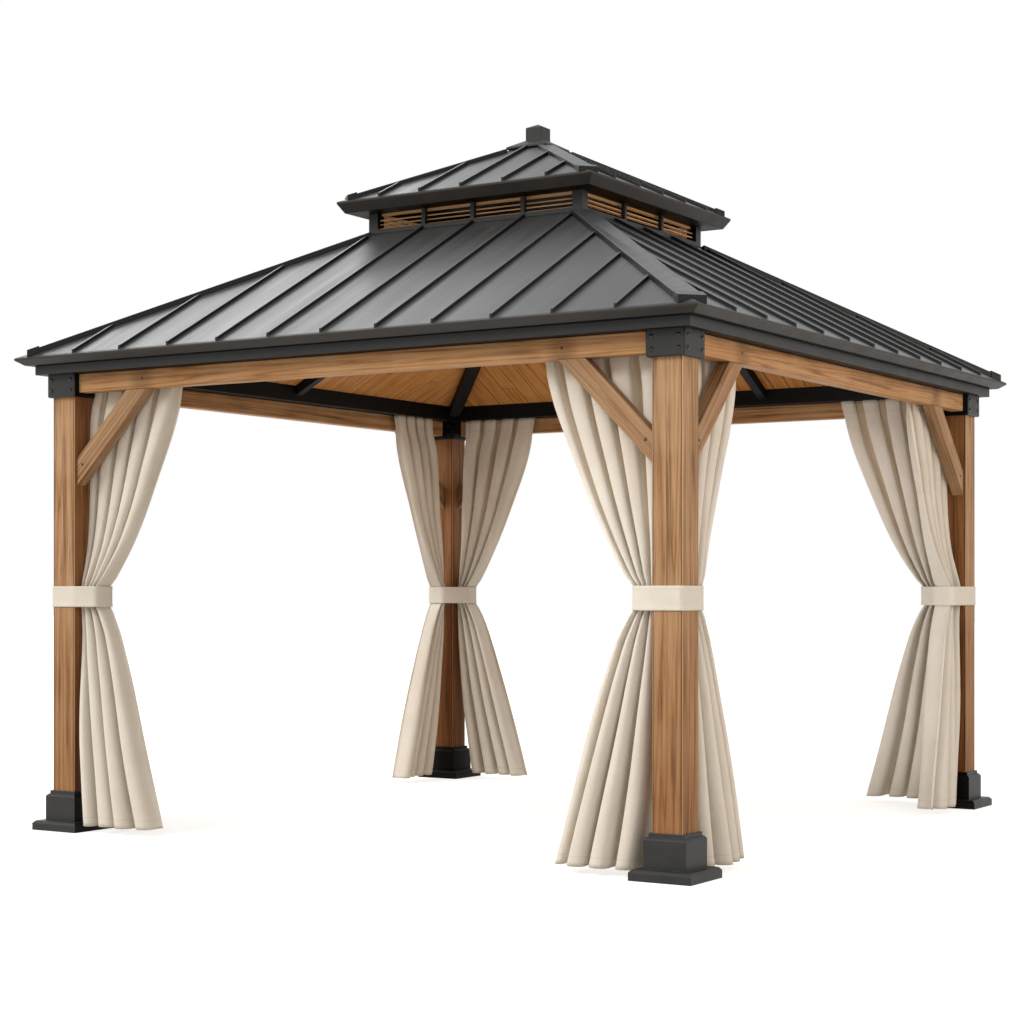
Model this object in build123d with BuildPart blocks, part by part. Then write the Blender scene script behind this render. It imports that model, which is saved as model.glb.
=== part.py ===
from build123d import *
import os

os.makedirs("parts", exist_ok=True)

# Square plan: the front side faces -Y and every side is a quarter turn of it.
side_names = ["front", "right", "back", "left"]
corner_names = ["front_right", "back_right", "back_left", "front_left"]
quarter_turn = 90.0
roof_rise_share = 0.543
upper_rise_share = 0.48

# Posts and their bases
post_line = 1630.0
post_width = 140.0
post_ease = 4.0
post_fit = 0.5
plate_width = 280.0
plate_height = 45.0
plate_bevel = 12.0
socket_width = 190.0
socket_height = 127.0
socket_bevel = 10.0
collar_width = 160.0
collar_height = 16.0

# Beams, corner brackets and knee braces
beam_bottom = 2096.0
beam_height = 88.0
beam_outward = 60.0
beam_inward = 10.0
timber_ease = 3.0
bracket_width = 178.0
bracket_height = 108.0
bracket_round = 8.0
bracket_edge = 5.0
brace_near = 316.0
brace_depth = 128.0
brace_outward = 54.0
brace_inward = 6.0

# Roof frame, eave trim and lower roof
frame_outward = 130.0
frame_inward = 95.0
frame_height = 44.0
rail_height = 86.0
soffit_width = 35.0
trim_flare = 35.0
trim_face = 24.0
trim_edge = 9.0
trim_lip = 14.0
trim_back = 60.0
sheet_depth = 14.0
lining_depth = 20.0
lining_rest = 65.0
lining_hip_gap = 3.0
curb_half = 614.0
curb_width = 55.0
curb_drop = 20.0
hip_rafter_width = 70.0
rafter_width = 50.0
rafter_depth = 55.0
rafter_gap = 9.0

# Standing seams and hip caps
lower_seam_count = 11
upper_seam_count = 5
seam_margin_share = 1.44
seam_width = 14.0
seam_height = 18.0
seam_gap = 1.0
hip_cap_width = 110.0
hip_cap_rise = 7.0
hip_end_width = 120.0
hip_end_length = 40.0
hip_end_rise = 14.0
upper_cap_width = 84.0
upper_end_width = 94.0
upper_end_length = 34.0

# Vent cupola
sill_height = 24.0
louvre_height = 82.0
head_height = 70.0
muntin_width = 22.0
muntin_depth = 20.0
front_bay_count = 4
side_bay_count = 3
slat_count = 4
slat_gap = 1.0
slat_run = 30.0
slat_fall = 8.0
slat_thickness = 5.0
top_board_height = 22.0
top_board_thickness = 12.0
upper_overhang = 115.0
upper_soffit = 86.0
upper_lip = 12.0
upper_trim_face = 46.0
upper_trim_edge = 9.0
trim_overlap = 4.0
upper_hip_gap = 3.0
mitre_gap = 0.4

# Finial
peak_half = 100.0
flange_lip = 18.0
flange_edge = 12.0
flange_height = 39.0
finial_width = 92.0
finial_height = 64.0
finial_lid = 22.0

# Curtains and tie bands, measured from the post centre along the side and inward
cloth_clear = 0.3
cloth_gap = 10.0
curtain_hem = 28.0
band_middle = 1120.0
band_height = 100.0
band_thickness = 4.0
waist_margin = 10.0
bundle_gap = 4.0
bundle_outward = 35.0
hem_width = 388.0
hem_outward = 110.0
hem_inward = 80.0
knee_share = 0.52
knee_width = 310.0
knee_outward = 75.0
waist_width = 105.0
shoulder_share = 0.45
shoulder_width = 262.0
brace_foot_width = 390.0
tuck_width = 526.0
top_width = 562.0

# Places worked out from the sizes above
post_half = post_width / 2
bracket_half = bracket_width / 2
beam_top = beam_bottom + beam_height
bracket_bottom = beam_top - bracket_height
brace_far = brace_near + brace_depth
socket_top = plate_height + socket_height
collar_top = socket_top + collar_height
frame_outer_half = post_line + frame_outward
frame_inner_half = post_line - frame_inward
frame_inner_height = beam_top + rail_height
trim_foot_half = frame_outer_half + soffit_width
trim_foot_height = beam_top + frame_height
trim_back_half = frame_outer_half - trim_back
eave_half = trim_foot_half + trim_flare
eave_height = trim_foot_height + trim_face + trim_edge
trim_lip_half = eave_half - trim_lip
lining_outer_half = frame_inner_half + lining_rest
wall_half = curb_half - curb_width
upper_eave_half = curb_half + upper_overhang
upper_foot_half = curb_half + upper_soffit
upper_lip_half = upper_eave_half - upper_lip
flange_half = peak_half + flange_lip


def roof_z(half):
    return eave_height + (eave_half - half) * roof_rise_share


def lining_z(half):
    return frame_inner_height + (frame_inner_half - half) * roof_rise_share


curb_top = roof_z(curb_half)
curb_bottom = lining_z(curb_half) - rafter_depth - curb_drop
louvre_bottom = curb_top + sill_height
wall_top = louvre_bottom + louvre_height
head_top = wall_top + head_height
upper_foot_height = wall_top - trim_overlap
upper_eave_height = upper_foot_height + upper_trim_face + upper_trim_edge


def upper_z(half):
    return upper_eave_height + (upper_eave_half - half) * upper_rise_share


peak_cut = upper_z(peak_half)
flange_top = peak_cut + flange_edge + flange_height
finial_box_top = flange_top + finial_height
finial_top = finial_box_top + finial_lid


def turned(shape, turns):
    return shape.rotate(Axis.Z, quarter_turn * turns)


def save(shape, name):
    shape.label = name
    export_step(shape, "parts/" + name + ".step")


def save_turned(shape, names, stem):
    for turns, name in enumerate(names):
        save(turned(shape, turns), stem + "_" + name)


def four_turns(shape):
    return Compound(children=[turned(shape, turns) for turns in range(len(side_names))])


def front_section(*points):
    # Outline in the upright plane across the front side, as half width and height
    with BuildSketch(Plane.YZ) as outline:
        with BuildLine():
            Polyline(*[(-half, height) for half, height in points], close=True)
        make_face()
    return outline.sketch


def front_wedge(gap):
    # Quarter of the plan between the two hips of the front side
    with BuildSketch(Plane.XY) as quarter:
        with BuildLine():
            Polyline((0, -gap), (eave_half, -eave_half - gap), (-eave_half, -eave_half - gap), close=True)
        make_face()
    return quarter.sketch


def mitred(section, gap):
    with BuildPart() as length:
        extrude(section, amount=eave_half, both=True)
        extrude(front_wedge(gap), amount=finial_top, mode=Mode.INTERSECT)
    return length.part


# Post on the front right corner, standing on its base plate
with BuildPart() as post:
    with BuildSketch(Plane.XY.offset(plate_height)):
        with Locations((post_line, -post_line)):
            Rectangle(post_width, post_width)
    extrude(amount=beam_top - plate_height)
    chamfer(post.edges().filter_by(Axis.Z), post_ease)
save_turned(post.part, corner_names, "post")

# Base: plate, open socket round the post foot, and a narrower collar
sleeve_bore = post_width + post_fit + post_fit
with BuildPart() as post_base:
    with BuildSketch(Plane.XY):
        with Locations((post_line, -post_line)):
            Rectangle(plate_width, plate_width)
    extrude(amount=plate_height)
    chamfer(post_base.faces().sort_by(Axis.Z)[-1].edges(), plate_bevel)
    with BuildSketch(Plane.XY.offset(plate_height)):
        with Locations((post_line, -post_line)):
            Rectangle(socket_width, socket_width)
    extrude(amount=socket_height)
    chamfer(post_base.faces().sort_by(Axis.Z)[-1].edges(), socket_bevel)
    with BuildSketch(Plane.XY.offset(socket_top)):
        with Locations((post_line, -post_line)):
            Rectangle(collar_width, collar_width)
    extrude(amount=collar_height)
    with BuildSketch(Plane.XY.offset(plate_height)):
        with Locations((post_line, -post_line)):
            Rectangle(sleeve_bore, sleeve_bore)
    extrude(amount=collar_top - plate_height, mode=Mode.SUBTRACT)
save_turned(post_base.part, corner_names, "post_base")

# Bracket: steel sleeve round the post head
with BuildPart() as corner_bracket:
    with BuildSketch(Plane.XY.offset(bracket_bottom)):
        with Locations((post_line, -post_line)):
            Rectangle(bracket_width, bracket_width)
    extrude(amount=bracket_height)
    fillet(corner_bracket.edges().filter_by(Axis.Z), bracket_round)
    chamfer(corner_bracket.faces().sort_by(Axis.Z)[0].edges(), bracket_edge)
    with BuildSketch(Plane.XY.offset(bracket_bottom)):
        with Locations((post_line, -post_line)):
            Rectangle(sleeve_bore, sleeve_bore)
    extrude(amount=bracket_height, mode=Mode.SUBTRACT)
save_turned(corner_bracket.part, corner_names, "corner_bracket")

# Beam along the front side, between two brackets
beam_outline = front_section(
    (post_line + beam_outward, beam_bottom),
    (post_line + beam_outward, beam_top),
    (post_line - beam_inward, beam_top),
    (post_line - beam_inward, beam_bottom),
)
with BuildPart() as beam:
    extrude(beam_outline, amount=post_line - bracket_half, both=True)
    chamfer(beam.edges().filter_by(Axis.X), timber_ease)
save_turned(beam.part, side_names, "beam")

# Two knee braces on the front side, between post faces and the beam
brace_face = post_line - post_half
with BuildPart() as braces:
    with BuildSketch(Plane.XZ.offset(post_line - brace_inward)):
        with BuildLine():
            Polyline(
                (brace_face, beam_bottom - brace_near),
                (brace_face, beam_bottom - brace_far),
                (brace_face - brace_far, beam_bottom),
                (brace_face - brace_near, beam_bottom),
                close=True,
            )
        make_face()
        mirror(about=Plane.YZ)
    extrude(amount=brace_outward + brace_inward)
save(four_turns(braces.part), "knee_braces")

# Roof frame: mitred steel member with the ceiling resting on its inner slope
roof_frame = mitred(
    front_section(
        (frame_inner_half, beam_top),
        (frame_outer_half, beam_top),
        (frame_outer_half, trim_foot_height),
        (lining_outer_half, trim_foot_height),
        (lining_outer_half, lining_z(lining_outer_half)),
        (frame_inner_half, frame_inner_height),
    ),
    0,
)
save_turned(roof_frame, side_names, "roof_frame")

# Eave trim: slanted face under a square edge, with a lip round the roof sheet
eave_trim = mitred(
    front_section(
        (eave_half, eave_height),
        (trim_lip_half, roof_z(trim_lip_half)),
        (trim_lip_half, roof_z(trim_lip_half) - sheet_depth),
        (trim_back_half, roof_z(trim_back_half) - sheet_depth),
        (trim_back_half, trim_foot_height),
        (trim_foot_half, trim_foot_height),
        (eave_half, trim_foot_height + trim_face),
    ),
    0,
)
save_turned(eave_trim, side_names, "eave_trim")


def seamed_panel(section, gap, count, pitch, outer, inner, cap_width, height):
    # Sheet between two hips with upstanding seams that stop at the hip caps
    cap_reach = cap_width / 2**0.5 + seam_gap + seam_width / 2
    with BuildPart() as panel:
        add(mitred(section, gap))
        for step in range(count):
            place = (step - (count - 1) / 2) * pitch
            start = max(inner, abs(place) + cap_reach)
            outline = front_section(
                (outer, height(outer) - sheet_depth / 2),
                (outer, height(outer) + seam_height),
                (start, height(start) + seam_height),
                (start, height(start) - sheet_depth / 2),
            )
            extrude(outline.moved(Location((place, 0, 0))), amount=seam_width / 2, both=True)
    return panel.part


# Lower roof panel of the front side
lower_sheet = front_section(
    (trim_lip_half, roof_z(trim_lip_half)),
    (curb_half, roof_z(curb_half)),
    (curb_half, roof_z(curb_half) - sheet_depth),
    (trim_lip_half, roof_z(trim_lip_half) - sheet_depth),
)
lower_panel = seamed_panel(
    lower_sheet,
    0,
    lower_seam_count,
    trim_lip_half * 2 / (lower_seam_count + seam_margin_share),
    trim_lip_half,
    curb_half,
    hip_cap_width,
    roof_z,
)
save_turned(lower_panel, side_names, "roof_panel")


def along_hip(profile, start, end, rise_share):
    # Outline across the front right hip, swept up the hip from one half width to another
    reach = start - end
    rise = reach * rise_share
    across = Plane(origin=(start, -start, 0), x_dir=(-1, -1, 0), z_dir=(-1, 1, 0))
    with BuildPart() as length:
        with BuildSketch(across):
            with BuildLine():
                Polyline(*profile, close=True)
            make_face()
        extrude(amount=(reach * reach + reach * reach + rise * rise) ** 0.5, dir=(-reach, reach, rise))
    return length.part


def hip_cap(width, end_width, end_length, start, end, height, rise_share):
    # Flat-topped cap astride a hip, with a wider squared end at the eave
    foot = height(start)
    lengths = []
    for across, top, stop in [(width, hip_cap_rise, end), (end_width, hip_end_rise, start - end_length)]:
        half = across / 2
        fall = half * rise_share / 2**0.5
        profile = [
            (-half, foot + top),
            (half, foot + top),
            (half, foot - fall),
            (0, foot),
            (-half, foot - fall),
        ]
        lengths.append(along_hip(profile, start, stop, rise_share))
    with BuildPart() as cap:
        for length in lengths:
            add(length)
    return cap.part


lower_cap_start = eave_half - hip_end_width / 2 / 2**0.5 - seam_gap
lower_cap = hip_cap(
    hip_cap_width, hip_end_width, hip_end_length, lower_cap_start, curb_half, roof_z, roof_rise_share
)
save(four_turns(lower_cap), "hip_caps")

# Ceiling lining under the roof, one slope of boards per side
lining = mitred(
    front_section(
        (lining_outer_half, lining_z(lining_outer_half)),
        (lining_outer_half, lining_z(lining_outer_half) + lining_depth),
        (curb_half, lining_z(curb_half) + lining_depth),
        (curb_half, lining_z(curb_half)),
    ),
    lining_hip_gap,
)
save(four_turns(lining), "ceiling_lining")

# Hip rafters under the lining, cut to the roof frame and the vent curb
rafter_head = lining_z(lining_outer_half)
rafter_fall = hip_rafter_width / 2 * roof_rise_share / 2**0.5
rafter_profile = [
    (0, rafter_head),
    (hip_rafter_width / 2, rafter_head - rafter_fall),
    (hip_rafter_width / 2, rafter_head - rafter_fall - rafter_depth),
    (-hip_rafter_width / 2, rafter_head - rafter_fall - rafter_depth),
    (-hip_rafter_width / 2, rafter_head - rafter_fall),
]
rafter_length = along_hip(rafter_profile, lining_outer_half, wall_half, roof_rise_share)
with BuildPart() as hip_rafter:
    add(rafter_length)
    with BuildSketch(Plane.XY):
        Rectangle(frame_inner_half * 2, frame_inner_half * 2)
        Rectangle(curb_half * 2, curb_half * 2, mode=Mode.SUBTRACT)
    extrude(amount=finial_top, mode=Mode.INTERSECT)
save(four_turns(hip_rafter.part), "hip_rafters")

# Common rafters: a pair on the front and back slopes, one on the left and right
rafter_outline = front_section(
    (frame_inner_half, lining_z(frame_inner_half)),
    (curb_half, lining_z(curb_half)),
    (curb_half, lining_z(curb_half) - rafter_depth),
    (frame_inner_half, lining_z(frame_inner_half) - rafter_depth),
)


def rafter_set(places):
    with BuildPart() as rafters:
        for place in places:
            extrude(rafter_outline.moved(Location((place, 0, 0))), amount=rafter_width / 2, both=True)
    return rafters.part


pair_place = curb_half - hip_rafter_width / 2**0.5 - rafter_gap - rafter_width / 2
front_rafters = rafter_set([-pair_place, pair_place])
side_rafters = rafter_set([0])
rafter_sides = [front_rafters, side_rafters, front_rafters, side_rafters]
common_rafters = Compound(children=[turned(shape, turns) for turns, shape in enumerate(rafter_sides)])
save(common_rafters, "common_rafters")

# Vent curb: square ring that carries the upper ends of roof, lining and rafters
with BuildPart() as vent_curb:
    with BuildSketch(Plane.XY.offset(curb_bottom)):
        Rectangle(curb_half * 2, curb_half * 2)
        Rectangle(wall_half * 2, wall_half * 2, mode=Mode.SUBTRACT)
    extrude(amount=curb_top - curb_bottom)
save(vent_curb.part, "vent_curb")

# Vent frame: sill, head, corner posts and the muntins between louvre bays
muntin_line = curb_half - muntin_depth / 2
with BuildPart() as vent_frame:
    for bottom, top in [(curb_top, louvre_bottom), (wall_top, head_top)]:
        with BuildSketch(Plane.XY.offset(bottom)):
            Rectangle(curb_half * 2, curb_half * 2)
            Rectangle(wall_half * 2, wall_half * 2, mode=Mode.SUBTRACT)
        extrude(amount=top - bottom)
    with BuildSketch(Plane.XY.offset(curb_top)):
        with GridLocations(curb_half + wall_half, curb_half + wall_half, 2, 2):
            Rectangle(curb_width, curb_width)
        front_pitch = (wall_half * 2 + muntin_width) / front_bay_count
        with GridLocations(front_pitch, muntin_line * 2, front_bay_count - 1, 2):
            Rectangle(muntin_width, muntin_depth)
        side_pitch = (wall_half * 2 + muntin_width) / side_bay_count
        with GridLocations(muntin_line * 2, side_pitch, 2, side_bay_count - 1):
            Rectangle(muntin_depth, muntin_width)
    extrude(amount=head_top - curb_top)
save(vent_frame.part, "vent_frame")

# Louvre slats behind the muntins, falling outward, under a plain top board
slat_outer = curb_half - muntin_depth - slat_gap
slat_pitch = (louvre_height - top_board_height) / slat_count
slat_outlines = [
    front_section(
        (slat_outer, wall_top),
        (slat_outer, wall_top - top_board_height),
        (slat_outer - top_board_thickness, wall_top - top_board_height),
        (slat_outer - top_board_thickness, wall_top),
    )
]
for row in range(slat_count):
    foot = louvre_bottom + row * slat_pitch
    slat_outlines.append(
        front_section(
            (slat_outer, foot),
            (slat_outer, foot + slat_thickness),
            (slat_outer - slat_run, foot + slat_thickness + slat_fall),
            (slat_outer - slat_run, foot + slat_fall),
        )
    )
with BuildPart() as slats:
    for outline in slat_outlines:
        extrude(outline, amount=wall_half, both=True)
save(four_turns(slats.part), "vent_louvres")

# Upper eave trim and roof
upper_trim = mitred(
    front_section(
        (upper_eave_half, upper_eave_height),
        (upper_lip_half, upper_z(upper_lip_half)),
        (upper_lip_half, upper_z(upper_lip_half) - sheet_depth),
        (curb_half, upper_z(curb_half) - sheet_depth),
        (curb_half, upper_foot_height),
        (upper_foot_half, upper_foot_height),
        (upper_eave_half, upper_foot_height + upper_trim_face),
    ),
    mitre_gap,
)
save(four_turns(upper_trim), "upper_trim")

upper_sheet = front_section(
    (upper_lip_half, upper_z(upper_lip_half)),
    (peak_half, peak_cut),
    (peak_half - sheet_depth / upper_rise_share, peak_cut),
    (upper_lip_half, upper_z(upper_lip_half) - sheet_depth),
)
upper_panel = seamed_panel(
    upper_sheet,
    upper_hip_gap,
    upper_seam_count,
    upper_lip_half * 2 / (upper_seam_count + 1),
    upper_lip_half,
    flange_half + seam_gap,
    upper_cap_width,
    upper_z,
)
save(four_turns(upper_panel), "upper_roof_panels")

upper_cap_start = upper_eave_half - upper_end_width / 2 / 2**0.5 - seam_gap
upper_cap = hip_cap(
    upper_cap_width,
    upper_end_width,
    upper_end_length,
    upper_cap_start,
    flange_half + seam_gap,
    upper_z,
    upper_rise_share,
)
save(four_turns(upper_cap), "upper_hip_caps")

# Finial: square flashing over the roof peak, box and shallow pointed lid
finial_quarter = mitred(
    front_section(
        (0, peak_cut),
        (flange_half, peak_cut),
        (flange_half, peak_cut + flange_edge),
        (finial_width / 2, flange_top),
        (finial_width / 2, finial_box_top),
        (0, finial_top),
    ),
    0,
)
with BuildPart() as finial:
    for turns in range(len(side_names)):
        add(turned(finial_quarter, turns))
save(finial.part, "finial")

# Gathered curtains: outer form of the hung cloth, drawn in at the tie band
band_bottom = band_middle - band_height / 2
band_top = band_middle + band_height / 2
bundle_start = post_half + bundle_gap
header_start = bracket_half + bundle_gap
brace_foot_height = beam_bottom - brace_far - cloth_gap
waist_bottom = band_bottom - waist_margin
waist_top = band_top + waist_margin
knee_height = curtain_hem + (waist_bottom - curtain_hem) * knee_share
shoulder_height = waist_top + (brace_foot_height - waist_top) * shoulder_share
beam_clear = beam_inward + cloth_gap
brace_clear = brace_inward + cloth_gap
curtain_levels = [
    (curtain_hem, plate_width / 2 + cloth_gap, hem_width, -hem_outward, hem_inward),
    (knee_height, bundle_start, knee_width, -knee_outward, post_half),
    (waist_bottom, bundle_start, waist_width, -bundle_outward, post_half),
    (waist_top, bundle_start, waist_width, -bundle_outward, post_half),
    (shoulder_height, bundle_start, shoulder_width, 0, post_half),
    (brace_foot_height, bundle_start, brace_foot_width, brace_clear, post_half),
    (bracket_bottom - cloth_gap, header_start, tuck_width, beam_clear, bracket_half),
    (beam_top - cloth_clear, header_start, top_width, beam_clear, bracket_half),
]
along_left = [(post_line - start, height) for height, start, width, near, far in curtain_levels]
along_right = [(post_line - start - width, height) for height, start, width, near, far in curtain_levels]
inward_near = [(near - post_line, height) for height, start, width, near, far in curtain_levels]
inward_far = [(far - post_line, height) for height, start, width, near, far in curtain_levels]
with BuildPart() as curtain:
    with BuildSketch(Plane.XZ):
        with BuildLine():
            Polyline(*along_left, *along_right[::-1], close=True)
        make_face()
    extrude(amount=eave_half)
    with BuildSketch(Plane.YZ):
        with BuildLine():
            Polyline(*inward_near, *inward_far[::-1], close=True)
        make_face()
    extrude(amount=eave_half, mode=Mode.INTERSECT)
save_turned(curtain.part, side_names, "curtain_right_of")
save_turned(mirror(curtain.part, about=Plane.YZ), side_names, "curtain_left_of")

# Tie band: flat loop round the post and both gathered curtains
bundle_end = bundle_start + waist_width
band_line = [
    (post_half, -post_half),
    (post_half, post_half),
    (bundle_outward, bundle_end),
    (-post_half, bundle_end),
    (-bundle_end, post_half),
    (-bundle_end, -bundle_outward),
    (-post_half, -post_half),
]
with BuildPart() as tie_band:
    for spread, mode in [(cloth_clear + band_thickness, Mode.ADD), (cloth_clear, Mode.SUBTRACT)]:
        with BuildSketch(Plane.XY.offset(band_bottom)):
            with BuildLine():
                Polyline(*[(post_line + x, -post_line + y) for x, y in band_line], close=True)
            make_face()
            offset(amount=spread, kind=Kind.INTERSECTION)
        extrude(amount=band_height, mode=mode)
save_turned(tie_band.part, corner_names, "tie_band")
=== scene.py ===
# %% [markdown]
# # A square hardtop gazebo
# The solid model of the gazebo (posts, beams, roof, vent) is loaded as a fixed frame in metres, with the
# ground at z = 0 and the front side facing -Y. This lesson dresses it: stained timber, powder-coated steel,
# a boarded ceiling, bolts and screws, and eight curtains tied back at the posts.

# %% Load the solid frame
import math
import random
from functools import partial

import bmesh
import bpy
from mathutils import Euler, Matrix, Vector, noise


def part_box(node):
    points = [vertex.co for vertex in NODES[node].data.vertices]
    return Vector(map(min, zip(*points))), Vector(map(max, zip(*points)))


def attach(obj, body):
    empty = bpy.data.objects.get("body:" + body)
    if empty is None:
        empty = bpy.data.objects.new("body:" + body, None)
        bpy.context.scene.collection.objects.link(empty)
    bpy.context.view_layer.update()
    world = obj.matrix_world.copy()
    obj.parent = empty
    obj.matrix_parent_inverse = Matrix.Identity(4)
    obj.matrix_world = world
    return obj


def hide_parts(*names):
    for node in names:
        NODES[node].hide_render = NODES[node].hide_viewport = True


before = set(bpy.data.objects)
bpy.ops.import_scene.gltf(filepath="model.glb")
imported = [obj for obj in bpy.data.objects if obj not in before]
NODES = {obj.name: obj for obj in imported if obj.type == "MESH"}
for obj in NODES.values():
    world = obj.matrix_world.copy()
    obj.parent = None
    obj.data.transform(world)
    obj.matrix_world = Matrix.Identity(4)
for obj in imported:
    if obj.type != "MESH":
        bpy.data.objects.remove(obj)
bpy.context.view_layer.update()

SIDES = ["front", "right", "back", "left"]
CORNERS = ["front_right", "back_right", "back_left", "front_left"]

# %% [markdown]
# ## Two helpers
# Colours are written as sRGB hex values, the way a paint card gives them. Blender's shaders work in linear
# light, so one function converts them. A second function adds a node to any tree, with its settings, its
# values and its links, which keeps each material readable as a list of steps. Inputs are named, or listed
# in the node's own order, and a whole node given as an input stands for its first output.

# %% Colour and node helpers
def linear(hexa):
    steps = [int(hexa[i:i + 2], 16) / 255 for i in (1, 3, 5)]
    return tuple(s / 12.92 if s <= 0.04045 else ((s + 0.055) / 1.055) ** 2.4 for s in steps) + (1.0,)


def add_node(tree, kind, inputs=(), stops=(), **settings):
    node = tree.nodes.new(kind)
    for name, value in settings.items():
        setattr(node, name, value)
    for name, given in inputs.items() if isinstance(inputs, dict) else enumerate(inputs):
        named = [s for s in node.inputs if s.enabled and s.name == name]
        socket = named[0] if named else node.inputs[name]
        for value in given if isinstance(given, list) else [given]:
            if isinstance(value, bpy.types.Node):
                value = [s for s in value.outputs if s.enabled][0]
            if isinstance(value, bpy.types.NodeSocket):
                tree.links.new(value, socket)
            else:
                socket.default_value = value
    for i, (place, colour) in enumerate(stops):
        marks = node.color_ramp.elements
        mark = marks[i] if i < len(marks) else marks.new(place)
        mark.position = place
        mark.color = linear(colour) if isinstance(colour, str) else (colour, colour, colour, 1.0)
    return node


def new_material(name):
    """An empty material, with add_node bound to its tree."""
    material = bpy.data.materials.new(name)
    material.use_nodes = True
    material.node_tree.nodes.clear()
    return material, partial(add_node, material.node_tree)


print("grey #808080 in linear light:", round(linear("#808080")[0], 3))

# %% [markdown]
# ## Stained cedar
# The posts, beams and braces are planed softwood with a brown stain. Planed wood shows growth rings cut
# lengthwise: long wavering lines, a few arches, darker streaks and very fine fibres. The contour lines of a
# smooth noise, drawn out along the grain and leaning a little from it, give such lines and arches on every
# face at once, so a post or a beam needs no unwrapping, only coordinates turned until its grain runs along
# Z.

# %% Grain coordinates
def turned_grain(add, along, centre):
    """Object coordinates, moved to the middle of the piece and turned until its grain runs along Z."""
    turn = {"X": (0, -math.pi / 2, 0), "Y": (math.pi / 2, 0, 0), "Z": (0, 0, 0)}[along]
    place = -(Euler(turn).to_matrix() @ Vector(centre))
    here = add("ShaderNodeTexCoord").outputs["Object"]
    return add("ShaderNodeMapping", {"Vector": here, "Location": place, "Rotation": turn})


def stored_grain(add):
    """The piece's own stored coordinates: across, through and along the timber, in metres."""
    return add("ShaderNodeAttribute", attribute_name="grain").outputs["Vector"]


print("grain runs along Z, or along a stored direction")

# %% [markdown]
# Use leaves its marks on the wood. A steel screw darkens the cedar round it. The posts are cased in boards,
# so a dark joint runs beside each corner, and the edge next to it gets a painted highlight. A post is drawn
# darker towards its foot, and faces that look in under the roof, or straight down, are darkened as painted
# shade.

# %% Marks on the wood
HEIGHT_SHARE = 0.2   # how far height counts when a face is judged to look in, or down
# the second colour is a painted highlight on the posts' edges, the fourth is painted shade on inner faces;
# the third darkens a post towards its foot
JOINT, EDGE_HIGHLIGHT, FOOT_DARKENING, INNER_SHADE = "#3A281B", "#E3C19B", "#E2D3C0", "#D0B89E"
JOINT_INSET, JOINT_HALF, EDGE_HIGHLIGHT_WIDTH = 0.007, 0.002, 0.005
FOOT_DARKENING_LOW, FOOT_DARKENING_HIGH = -0.8, 0.4      # from the middle of the post
IRON_NEAR, IRON_FAR, IRON_RAGGED = 0.07, 0.13, 0.09


def painted_shade_mask(add):
    """1 on faces that look in or straight down, which take painted shade, and 0 on the outer faces."""
    place = add("ShaderNodeTexCoord")
    flattened = add("ShaderNodeVectorMath", [place.outputs["Object"], (1.0, 1.0, HEIGHT_SHARE)],
                    operation="MULTIPLY")
    outward = add("ShaderNodeVectorMath", [place.outputs["Normal"], flattened], operation="DOT_PRODUCT")
    # a list for Map Range reads: value, from min, from max, to min, to max
    return add("ShaderNodeMapRange", [outward.outputs["Value"], -0.45, -0.15, 1.0, 0.0])


def iron_marks(add, wood, grain, streaks, tone, reach):
    """Darkens the wood round screws that stand at this reach from the timber's middle."""
    along = add("ShaderNodeSeparateXYZ", [grain]).outputs["Z"]
    half = add("ShaderNodeMath", [along], operation="ABSOLUTE")
    near = add("ShaderNodeMath", [half, reach], operation="SUBTRACT")
    gap = add("ShaderNodeMath", [near], operation="ABSOLUTE")
    ragged = add("ShaderNodeMath", [streaks, IRON_RAGGED, gap], operation="MULTIPLY_ADD")
    stain = add("ShaderNodeMapRange", [ragged, IRON_NEAR, IRON_FAR, 0.45, 0.0])
    return add("ShaderNodeMix", {"Factor": stain, "A": wood, "B": linear(tone)}, data_type="RGBA")


def cased_post(add, wood, grain, half):
    """Joints and painted edge highlights at a post's corners, by its half width, a darker foot, painted inner
    shade.
    """
    part = add("ShaderNodeSeparateXYZ", [grain]).outputs
    x_off = add("ShaderNodeMath", [part["X"]], operation="ABSOLUTE")
    y_off = add("ShaderNodeMath", [part["Y"]], operation="ABSOLUTE")
    joint = add("ShaderNodeMath", [x_off, half - JOINT_INSET, JOINT_HALF], operation="COMPARE")
    joint_share = add("ShaderNodeMath", [joint, 0.85], operation="MULTIPLY")
    jointed = add("ShaderNodeMix", {"Factor": joint_share, "A": wood, "B": linear(JOINT)}, data_type="RGBA")
    # a painted highlight along each corner's edge
    least = add("ShaderNodeMath", [x_off, y_off], operation="MINIMUM")
    edge = add("ShaderNodeMath", [least, half - EDGE_HIGHLIGHT_WIDTH], operation="GREATER_THAN")
    highlight_share = add("ShaderNodeMath", [edge, 0.6], operation="MULTIPLY")
    edged = add("ShaderNodeMix", {"Factor": highlight_share, "A": jointed, "B": linear(EDGE_HIGHLIGHT)}, data_type="RGBA")
    # darker towards the foot, then painted shade on faces that look in under the roof
    towards_foot = add("ShaderNodeMapRange", [part["Z"], FOOT_DARKENING_LOW, FOOT_DARKENING_HIGH, 1.0, 0.0])
    for share, tone in ((towards_foot, FOOT_DARKENING), (painted_shade_mask(add), INNER_SHADE)):
        edged = add("ShaderNodeMix", {"Factor": share, "A": edged, "B": linear(tone)},
                    data_type="RGBA", blend_type="MULTIPLY")
    return edged


# %% [markdown]
# The stain itself is a satin oil: pale early wood, brown late wood and streaks that drank more of it. Each
# layer below adds one of these to the colour, and the fibres and rings also raise the surface a little.

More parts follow.
